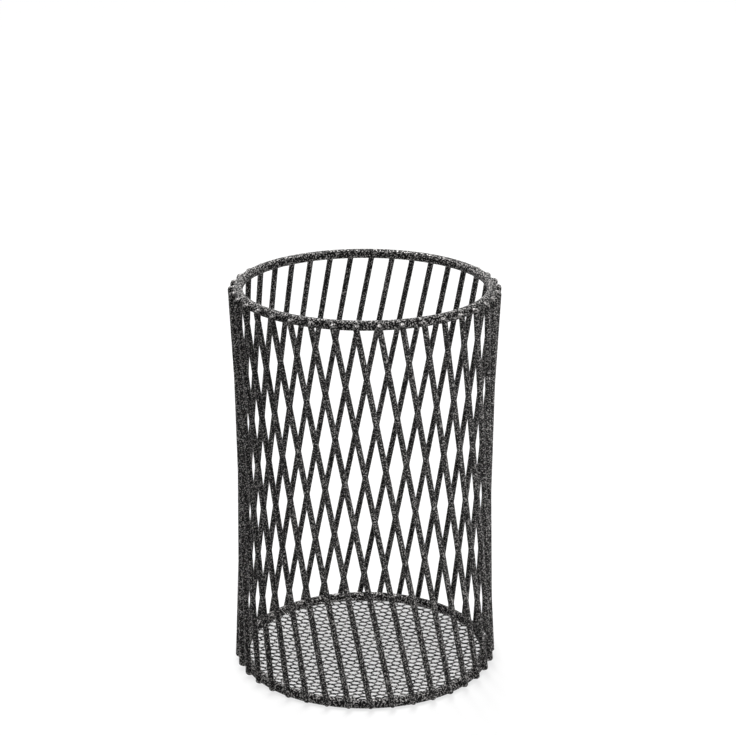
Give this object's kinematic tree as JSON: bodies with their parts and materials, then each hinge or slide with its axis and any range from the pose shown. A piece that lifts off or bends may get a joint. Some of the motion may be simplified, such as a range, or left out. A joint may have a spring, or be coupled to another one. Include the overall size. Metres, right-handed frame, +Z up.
{
  "type": "cutlery basket",
  "caption": "Round open-topped cutlery basket of slanted welded wires between two rings, with a dished expanded-metal floor.",
  "frame": {"origin": "on the basket's axis, at the surface that the bottom ring stands on", "axes": "+Z up along the basket's axis, from the bottom ring to the top ring; +Y away from the picture's viewer, +X to the viewer's right"},
  "size_m": [0.121, 0.121, 0.1787],
  "materials": {
    "ring_coat": "silver-veined black powder coat on round steel wire, 4.4 mm over the coat",
    "wire_coat": "silver-veined black powder coat on round steel wire, 2.5 mm over the coat",
    "mesh_coat": "silver-veined black powder coat on expanded steel sheet"
  },
  "bodies": {
    "root": {"top_ring": "ring_coat", "bottom_ring": "ring_coat", "floor_mesh": "mesh_coat", "wall_wire_01": "wire_coat", "wall_wire_02": "wire_coat", "wall_wire_03": "wire_coat", "wall_wire_04": "wire_coat", "wall_wire_05": "wire_coat", "wall_wire_06": "wire_coat", "wall_wire_07": "wire_coat", "wall_wire_08": "wire_coat", "wall_wire_09": "wire_coat", "wall_wire_10": "wire_coat", "wall_wire_11": "wire_coat", "wall_wire_12": "wire_coat", "wall_wire_13": "wire_coat", "wall_wire_14": "wire_coat", "wall_wire_15": "wire_coat", "wall_wire_16": "wire_coat", "wall_wire_17": "wire_coat", "wall_wire_18": "wire_coat", "wall_wire_19": "wire_coat", "wall_wire_20": "wire_coat", "wall_wire_21": "wire_coat", "wall_wire_22": "wire_coat", "wall_wire_23": "wire_coat", "wall_wire_24": "wire_coat", "wall_wire_25": "wire_coat", "wall_wire_26": "wire_coat", "wall_wire_27": "wire_coat", "wall_wire_28": "wire_coat", "wall_wire_29": "wire_coat", "wall_wire_30": "wire_coat", "wall_wire_31": "wire_coat", "wall_wire_32": "wire_coat", "wall_wire_33": "wire_coat", "wall_wire_34": "wire_coat", "wall_wire_35": "wire_coat", "wall_wire_36": "wire_coat", "wall_wire_37": "wire_coat", "wall_wire_38": "wire_coat"}
  },
  "joints": []
}
